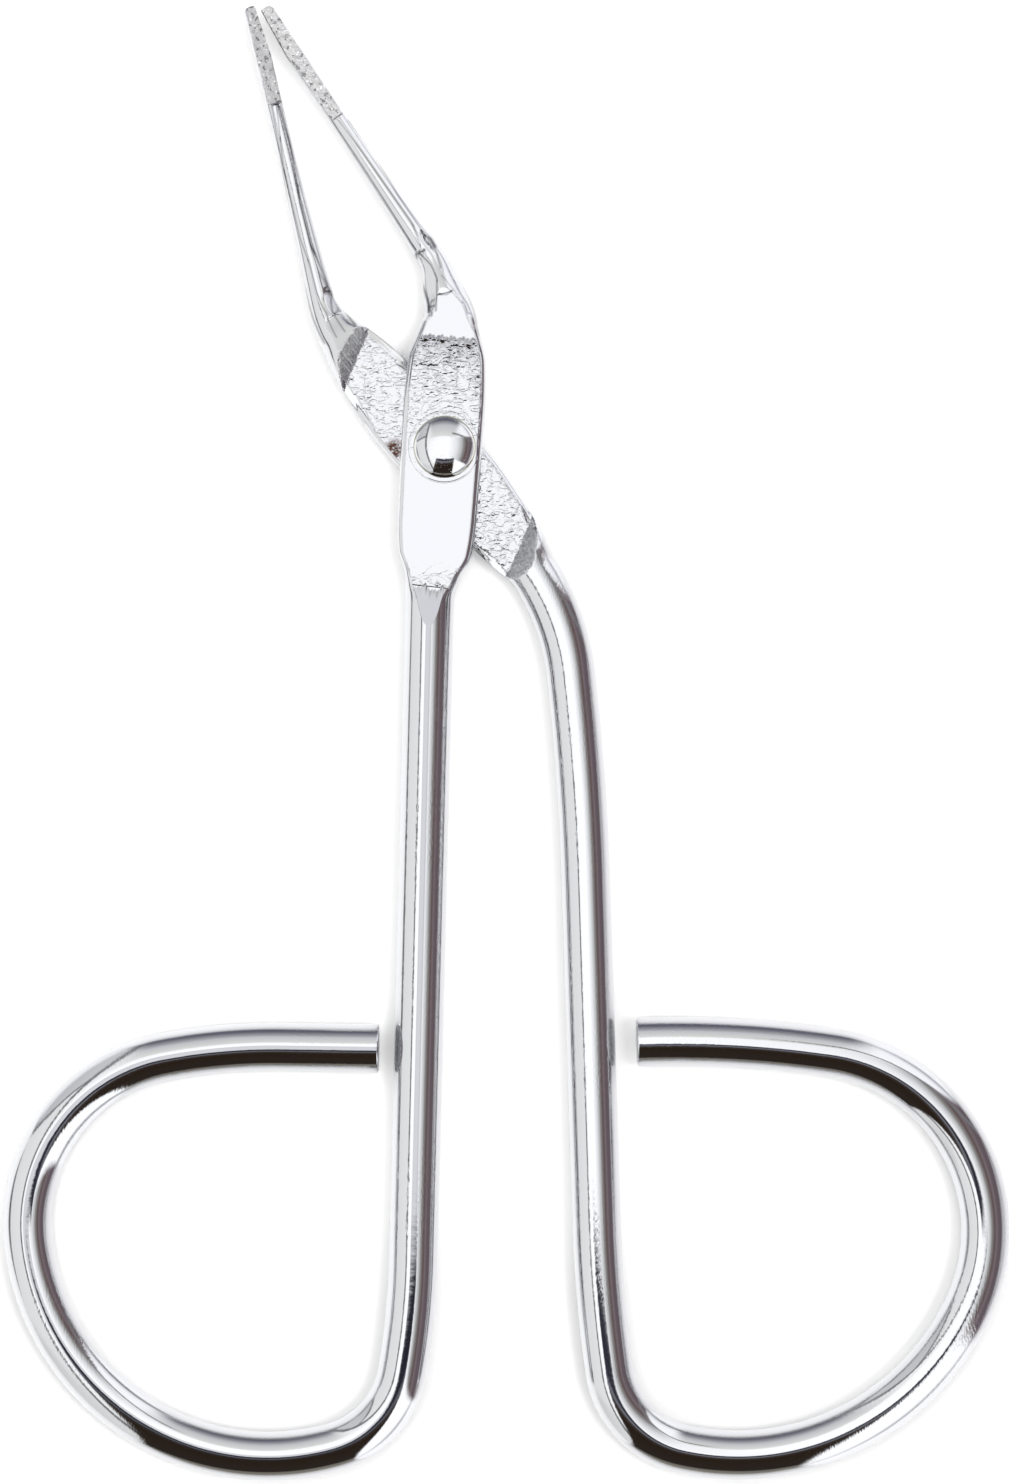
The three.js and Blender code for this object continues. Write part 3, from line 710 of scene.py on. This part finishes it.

# Painted shade: dark lines painted into the colour along the creases where two forged faces meet, and
# dark dots in a few small pits, each also sunk as a shallow groove: the half width, how dark, and the
# places along the arm and across it that the crease runs through.
FRONT_SHADED_CREASES = [
    (0.075, 0.85, [(13.15, -0.69), (12.2, -1.26), (10.8, -1.16), (9.45, -1.14), (8.95, -1.29)]),
    (0.06, 0.6, [(13, -0.51), (11.95, -0.28), (10.95, -0.19), (9.95, -0.47), (8.95, -0.82)]),
    (0.11, 0.8, [(13.8, 0.44), (13.4, 0.61), (12.85, 0.57)]),
    (0.07, 0.5, [(12.85, 0.57), (12.1, 0.3), (11.6, 0.21)]),
    (0.11, 1, [(13.05, -0.53), (13.1, -0.44)]),
    (0.09, 1, [(13.05, -0.16), (13.05, -0.13)]),
    (0.06, 0.6, [(9.95, -0.4), (9.8, 0.15), (9.95, 0.61)]),
    (0.05, 0.35, [(13.25, 0.83), (11.9, 1.11), (10.5, 1.29), (8.9, 1.49), (7.3, 1.93)]),
    (0.05, 0.35, [(11.05, 0.17), (9.85, 0.71), (8.3, 1.11), (7.45, 1.67)]),
    (0.06, 0.5, [(23.35, -0.4), (13.4, -0.6)]),
    (0.05, 0.55, [(23.05, -0.03), (20.75, 0.07), (14.8, 0.17), (13.45, -0.19)]),
    (0.05, 0.5, [(22.7, 0.48), (19.95, 0.62), (16.8, 0.43), (13.8, 0.44)]),
]
REAR_SHADED_CREASES = [
    (0.08, 0.65, [(25.15, 0.26), (22.5, 0.39), (18.85, 0.16), (15.85, 0.2), (14.05, 0.51)]),
    (0.16, 0.6, [(13.85, 0.46), (12.6, 0.69)]),
    (0.08, 0.85, [(12.55, 1), (11.15, 1.19), (9.75, 1.18)]),
    (0.06, 0.5, [(12.4, 0.7), (11.45, 0.45), (10.3, 0.43), (9.8, 0.4)]),
    (0.07, 0.6, [(13.45, -0.83), (12.2, -0.84), (11, -0.94), (10.05, -1.09)]),
    (0.05, 0.5, [(25.45, 0.17), (21.2, -0.38), (16.55, -0.39), (15, -0.19),
                 (12.9, -0.17), (11.5, 0.04), (9.85, -0.25)]),
    (0.05, 0.4, [(25.35, -0.16), (18.25, -0.67), (13.45, -0.83)]),
]
SCORE_DEPTH = 0.02
SCORE_FLOOR = -0.4  # creases stay on the upper side of the arm


def shaded_creases(s, x, z, scores):
    """How much painted shade every point gets where creases cross it; the same share sets how deep the
    groove is.
    """
    dark = np.zeros_like(s)
    for half_width, depth, points in scores:
        nearest = np.full_like(s, np.inf)
        for (s1, x1), (s2, x2) in zip(points, points[1:]):
            run, rise = s2 - s1, x2 - x1
            share = np.clip(((s - s1) * run + (x - x1) * rise) / (run ** 2 + rise ** 2), 0, 1)
            nearest = np.minimum(nearest, np.hypot(s - s1 - share * run, x - x1 - share * rise))
        dark = np.maximum(dark, depth * np.exp(-(nearest / half_width) ** 2) * (z > SCORE_FLOOR))
    return dark


def cut_flat(x, z, along, flat):
    """Moves every point that stands proud of a flat down onto it."""
    tilt, stations = flat
    side, up = math.sin(math.radians(tilt)), math.cos(math.radians(tilt))
    limit = smooth_through(stations, along)
    outside = np.maximum(stations[0][0] - along, along - stations[-1][0])
    limit = limit + CLEAR_OF_FLAT * (outside > 0)
    proud = x * side + z * up - limit
    proud = (proud + np.sqrt(proud ** 2 + FLAT_EDGE ** 2)) / 2 - FLAT_EDGE ** 2 / 40
    proud = np.maximum(0, proud) * (limit < CLEAR_OF_FLAT)
    return x - proud * side, z - proud * up


def press_dents(x, z, along, dents):
    for place, across, long, wide, depth in dents:
        away = ((along - place) / long) ** 2 + ((x - across) / wide) ** 2
        z = z - depth * np.exp(-away) * (z > 0)
    return z


def arm_surface(arm):
    """Every point of an arm: its place along the arm, and how far right and up it lies."""
    places = section_places(arm)
    angles = section_angles()
    s, a = np.meshgrid(places, angles, indexing="ij")
    width, height, roundness = [smooth_through(st, places) for st in stations_of(arm)]
    tip = length_of(arm["to_jaw"])
    to_tip = tip - places
    to_end = places - places[0]
    shrink = np.zeros(len(places))
    for distance, radius in ((to_tip, TIP_END_ROUND), (to_end, WIRE_END_ROUND)):
        near = np.clip(radius - distance, 0, radius)
        shrink += radius - np.sqrt(np.maximum(0, radius ** 2 - near ** 2))
    w = (width / 2 - shrink)[:, None] * np.ones_like(a)
    h = (height / 2 - shrink)[:, None] * np.ones_like(a)
    rounded = roundness[:, None]

    side = arm["side"]
    shoulder_slope = math.tan(math.radians(SHOULDER_RISE))
    runout = math.tan(math.radians(FACE_RUNOUT))
    face_end = tip - JAW_LENGTH - FACE_SETBACK

    turn = np.arctan2(np.abs(np.sin(a)), np.abs(np.cos(a)))
    third = math.pi / 6
    corner_turn = np.clip((turn - third) / third, 0, 1) * math.pi / 2
    edge = np.minimum(PLATE_EDGE, 0.45 * w)
    x_box = np.sign(np.cos(a)) * ((w - edge) * np.clip((math.pi / 2 - turn) / third, 0, 1)
                                  + edge * np.cos(corner_turn))
    x_round = w * np.cos(a)
    x = x_box + (x_round - x_box) * rounded

    shear = math.tan(math.radians(-side * SHOULDER_SLANT))
    bulge = SHOULDER_BULGE * np.clip(1 - (x / (0.42 * PLATE_WIDTH)) ** 2, 0, 1)
    # Ragged edges, as three waves that don't repeat together across the plate.
    jag = 0.09 * np.sin(4.7 * x + 0.4) + 0.06 * np.sin(11.3 * x + 2) + 0.03 * np.sin(29 * x + 1)
    reach = np.maximum(0, np.abs(s - shear * x) - LAP_REACH - 0.4 * jag) / (1 + bulge)
    lap_face = INNER_FACE - reach ** SHOULDER_ROLL * shoulder_slope
    ragged = 2 * jag * np.exp(-((s + FACE_REACH) / RAGGED_LENGTH) ** 2)
    beyond = np.maximum(np.maximum(-FACE_REACH - s - ragged, s - face_end), 0)
    outer_face = OUTER_FACE + beyond * runout
    top = np.minimum(h, outer_face if side > 0 else -lap_face)
    bottom = np.maximum(-h, lap_face if side > 0 else -outer_face)

    from_tip = tip - s
    face_length = TIP_FACE_LENGTHS[side]
    face_share = np.clip((face_length - from_tip) / face_length, 0, 1)
    ground = TIP_FACE_STEP + (TIP_FACE_DEPTH - TIP_FACE_STEP) * face_share
    step = np.clip((face_length - from_tip) / 0.2, 0, 1)
    if side > 0:
        top = np.minimum(top, JAW_TIP_DIAMETER * JAW_TALLNESS / 2 + 1 - (1 + ground) * step)

    upper = np.sin(a) >= 0
    middle = (top + bottom) / 2
    edge_z = np.minimum(edge, 0.45 * (top - bottom))
    rise_share = np.clip(turn / third, 0, 1)
    z_upper = middle + (top - edge_z - middle) * rise_share + edge_z * np.sin(corner_turn)
    z_lower = middle + (bottom + edge_z - middle) * rise_share - edge_z * np.sin(corner_turn)
    z_box = np.where(upper, z_upper, z_lower)
    z_round = np.clip(h * np.sin(a), bottom, top)
    z = z_box + (z_round - z_box) * rounded

    for flat in FRONT_FLATS if side > 0 else REAR_FLATS:
        x, z = cut_flat(x, z, s, flat)
    z = press_dents(x, z, s, FRONT_DENTS if side > 0 else REAR_DENTS)
    # Painted shade along the creases, which also sinks a shallow groove.
    crease_and_shade = shaded_creases(s, x, z, FRONT_SHADED_CREASES if side > 0 else REAR_SHADED_CREASES)
    z = z - SCORE_DEPTH * crease_and_shade * (z > 0)

    inner = -side * x
    pad = JAW_TIP_DIAMETER / 2 - PAD_DEPTH * np.clip((s - tip + PAD_LENGTH) / PAD_LENGTH, 0, 1.5)
    x = np.where(s > tip - PAD_LENGTH, -side * np.minimum(inner, pad), x)
    # Painted shade: the front pad's face towards the rear jaw is darkened in full.
    if side > 0:
        crease_and_shade = np.where((s > tip - PAD_LENGTH - 0.4) & (x < 0.06 - pad), PAD_EDGE_SHADE, crease_and_shade)
    return places, s, x, z, top, bottom, crease_and_shade


class Relief:
    """Smooth random relief on a square grid of seeded values."""

    def __init__(self, seed, grain):
        self.grain = grain
        self.values = np.random.default_rng(seed).uniform(-1, 1, (64, 64))

    def at(self, u, v):
        u, v = u / self.grain, v / self.grain
        i, j = np.floor(u).astype(int), np.floor(v).astype(int)
        fu, fv = u - i, v - j
        fu, fv = fu * fu * (3 - 2 * fu), fv * fv * (3 - 2 * fv)
        g = self.values
        low = g[i % 64, j % 64] * (1 - fu) + g[(i + 1) % 64, j % 64] * fu
        high = g[i % 64, (j + 1) % 64] * (1 - fu) + g[(i + 1) % 64, (j + 1) % 64] * fu
        return low * (1 - fv) + high * fv


PEEL_HEIGHT = 0.012
PIT_HEIGHT = 0.05
DIE_EDGE_SLANT = 0.09  # how the die's edge near the neck drops towards the right
DIE_EDGE_START = 1.6  # left of the rivet, where that edge is at its full height

# How coarse the front plate's wrinkles are, at heights from the handle end to the neck.
WRINKLES = [(-9.3, 0.9), (-8.7, 0.7), (-7.9, 0.25), (-7.2, 0.08), (-2.5, 0.05), (0.5, 0.35),
            (3.2, 0.55), (6.2, 1.0), (7.05, 1.0), (7.25, 0.04)]
REAR_WRINKLES = 0.52
RUNOUT_DULL = 0.62
DIE_DULL = [(5.2, 0), (6.4, 0.3), (7.15, 0.6), (7.25, 0)]  # the same way, towards the die's edge
DIE_LIFT = 0.12  # how far the face climbs where it meets the neck
DIE_LIFT_START = 5.6
DIE_LIFT_LENGTH = 1.6
STAIN_PLACE = (-3.25, -0.1)
STAIN_SIZE = (0.75, 0.8)
STAIN_DEPTH = 1.6
STAIN_FADE = 1.5
WIDE_RELIEF_SEED, WIDE_RELIEF_GRAIN = 7, 0.42
FINE_RELIEF_SEED, FINE_RELIEF_GRAIN = 19, 0.21
REAR_TIP_GROUND = 0.33  # height of the ground part of the rear tip, square to its flat
SHOULDER_LENGTH = 1.2
ON_FACE = 0.02  # how near a face a point counts as lying on it


def build_arm(name, body, arm):
    places, s, x, z, top, bottom, crease_and_shade = arm_surface(arm)
    side = arm["side"]
    tip = length_of(arm["to_jaw"])
    root = tip - JAW_LENGTH
    frames = np.array([place_on(arm, along) for along in places])
    px, py, heading = (frames[:, k][:, None] for k in range(3))
    slanted = s - math.tan(math.radians(-side * SHOULDER_SLANT)) * x
    in_lap = np.abs(slanted) < LAP_REACH
    lap_face = in_lap & (np.abs(z - side * INNER_FACE) < ON_FACE)
    face_end = root - FACE_SETBACK
    outer = (np.abs(z - side * OUTER_FACE) < ON_FACE) & (s > -FACE_REACH) & (s < face_end)
    shown = outer if side > 0 else lap_face

    wide = Relief(WIDE_RELIEF_SEED + side, WIDE_RELIEF_GRAIN)
    fine = Relief(FINE_RELIEF_SEED + side, FINE_RELIEF_GRAIN)
    gx = px + x * np.sin(heading)
    gy = py - x * np.cos(heading)
    torn = 0.06 * np.sin(9 * gx) + 0.04 * np.sin(23 * gx + 1)
    die_y = gy + DIE_EDGE_SLANT * (gx + DIE_EDGE_START) + torn
    if side > 0:
        coarse = np.interp(np.where(gy > 0, die_y, gy), *zip(*WRINKLES))
    else:
        coarse = np.full_like(s, REAR_WRINKLES)
    coarse = coarse * shown
    peel = wide.at(gx * 0.6, gy) * PEEL_HEIGHT * coarse
    pits = fine.at(gx, gy) * 0.5 * PEEL_HEIGHT * coarse

    tip_top = z > top - 0.03
    if side < 0:
        tilt = math.radians(REAR_TIP_TILT)
        tip_top = (x * math.sin(tilt) + z * math.cos(tilt)) > REAR_TIP_GROUND
    ground = (s > tip - TIP_FACE_LENGTHS[side] + 0.05) & tip_top
    grit = (wide.at(gx * 1.3, gy * 1.3) * 0.6 + fine.at(gx, gy) * 0.4) * PIT_HEIGHT
    lift_share = (die_y - DIE_LIFT_START) / DIE_LIFT_LENGTH
    lifted = np.where(shown & (side > 0), DIE_LIFT * np.clip(lift_share, 0, 1) ** 2, 0)
    z = z + peel + pits + lifted + np.where(ground, np.minimum(grit, 0.01), 0)

    shoulder = (~in_lap) & (np.abs(slanted) < LAP_REACH + SHOULDER_LENGTH)
    if side > 0:
        shoulder &= np.abs(z - bottom) < ON_FACE
    else:
        shoulder &= np.abs(z - top) < ON_FACE

    ramp = (side > 0) & (s < 0.2 - FACE_REACH) & (np.abs(z - top) < 0.01) & (z > OUTER_FACE + 0.012)

    gz = MID_HEIGHT + z
    rings, sides = s.shape
    points = np.stack([gx, gy, gz], axis=-1).reshape(-1, 3) * MM
    centres = np.array([
        [px[0, 0], py[0, 0], MID_HEIGHT], [px[-1, 0], py[-1, 0], MID_HEIGHT + z[-1].mean()],
    ]) * MM
    points = np.vstack([points, centres])
    ring, around = np.meshgrid(np.arange(rings - 1), np.arange(sides), indexing="ij")
    following = (around + 1) % sides
    a = ring * sides + around
    b = ring * sides + following
    quads = np.stack([a, a + sides, b + sides, b], axis=-1).reshape(-1, 4)
    last = (rings - 1) * sides
    start_cap = [(rings * sides, k, (k + 1) % sides) for k in range(sides)]
    end_cap = [(rings * sides + 1, last + (k + 1) % sides, last + k) for k in range(sides)]
    mesh = bpy.data.meshes.new(name)
    mesh.from_pydata(points.tolist(), [], quads.tolist() + start_cap + end_cap)

    zone = np.zeros(s.shape, int)
    zone[shown | ramp] = 1
    zone[ground] = 2
    zone[shoulder] = 3
    corners = zone.reshape(-1)[quads]
    faces = np.max(corners, axis=1)
    faces[(corners == 3).any(axis=1) & (corners == 1).any(axis=1)] = 3
    faces = np.concatenate([faces, np.full(sides, 3), np.full(sides, 2)])
    for finish in FINISHES:
        mesh.materials.append(finish)
    mesh.polygons.foreach_set("material_index", faces.astype(np.int32))

    dull = np.where(shown & (side > 0), np.interp(die_y, *zip(*DIE_DULL)), 0)
    dull = np.where(ramp, RUNOUT_DULL, dull)
    stain = np.zeros_like(s)
    if side < 0:
        away = np.hypot((gx - STAIN_PLACE[0]) / STAIN_SIZE[0], (gy - STAIN_PLACE[1]) / STAIN_SIZE[1])
        stain = np.clip(STAIN_DEPTH - STAIN_FADE * away, 0, 1) * shown
    # The crease map carries the painted shade to the finishes.
    for label, values in (("coarse", coarse), ("stain", stain), ("dull", dull), ("crease_and_shade", crease_and_shade)):
        layer = mesh.attributes.new(label, "FLOAT", "POINT")
        layer.data.foreach_set("value", np.append(values.reshape(-1), [0, 0]).astype(np.float32))
    return finish_piece(name, body, mesh)


SHARP_ANGLE = 38  # an edge that turns further than this shows as an edge


def finish_piece(name, body, mesh):
    mesh.shade_smooth()
    mesh.set_sharp_from_angle(angle=math.radians(SHARP_ANGLE))
    piece = bpy.data.objects.new(name, mesh)
    bpy.context.scene.collection.objects.link(piece)
    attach(piece, body)
    return piece


# ---- Rivet ----

HEAD_DIAMETER = 4.0
HEAD_GAP = 0.06  # under the head and over the tail
HEAD_LIP = 0.06  # height of the upright edge round the head
TAIL_FLAT_DIAMETER = 2.6
RIVET_SIDES = 96
DOME_STEPS = 26
DOME_FULLNESS = 2.4  # 2 is half an oval, and more is flatter on top and steeper at the rim


def build_rivet():
    """A solid rivet: domed head, shank, and a tail set over into a low button. The shank runs
    through the arms' meshes, which have no hole: the head and the plates hide it."""
    seat = MID_HEIGHT + OUTER_FACE + HEAD_GAP
    tail_top = MID_HEIGHT - OUTER_FACE - HEAD_GAP
    head = HEAD_DIAMETER / 2
    shank = RIVET_DIAMETER / 2
    low, high = RIVET_LOW.z, RIVET_HIGH.z
    tail = RIVET_HIGH.x * 0.85
    flat = TAIL_FLAT_DIAMETER / 2
    profile = [(flat, low), (flat + 0.15, low + 0.03), (tail - 0.06, tail_top * 0.55),
               (tail, tail_top * 0.8), (tail - 0.03, tail_top), (shank, tail_top), (shank, seat),
               (head - 0.05, seat), (head - 0.01, seat + 0.03)]
    for step in range(1, DOME_STEPS):
        angle = math.pi / 2 * (1 - step / DOME_STEPS)
        out = math.sin(angle) ** (2 / DOME_FULLNESS)
        rise = (high - seat - HEAD_LIP) * math.cos(angle) ** (2 / DOME_FULLNESS)
        profile.append((head * out, seat + HEAD_LIP + rise))
    points = []
    for radius, height in profile:
        for k in range(RIVET_SIDES):
            turn = 2 * math.pi * k / RIVET_SIDES
            points.append((radius * math.cos(turn) * MM, radius * math.sin(turn) * MM, height * MM))
    faces = []
    for ring in range(len(profile) - 1):
        for k in range(RIVET_SIDES):
            a = ring * RIVET_SIDES + k
            b = ring * RIVET_SIDES + (k + 1) % RIVET_SIDES
            faces.append((a, b, b + RIVET_SIDES, a + RIVET_SIDES))
    foot, crown = len(points), len(points) + 1
    points += [(0, 0, low * MM), (0, 0, high * MM)]
    last = (len(profile) - 1) * RIVET_SIDES
    for k in range(RIVET_SIDES):
        after = (k + 1) % RIVET_SIDES
        faces.append((foot, after, k))
        faces.append((crown, last + k, last + after))
    mesh = bpy.data.meshes.new("pivot_rivet_headed")
    mesh.from_pydata(points, [], faces)
    mesh.materials.append(chrome_on_rivet_head())
    return finish_piece("pivot_rivet_headed", "front_arm", mesh)


# ---- Assembly ----

place_camera()
build_studio()
hang_lights()
lay_board()

FINISHES = [chrome_on_drawn_wire(), chrome_on_forged_plate(), chrome_on_ground_tip(),
            chrome_on_sheared_steel()]
front = build_arm("front_arm_forged_wire", "front_arm", FRONT_ARM)
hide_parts("front_arm")
rear = build_arm("rear_arm_forged_wire", "rear_arm", REAR_ARM)
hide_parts("rear_arm")
rivet = build_rivet()
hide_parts("pivot_rivet")

bpy.context.scene.view_settings.view_transform = "Standard"
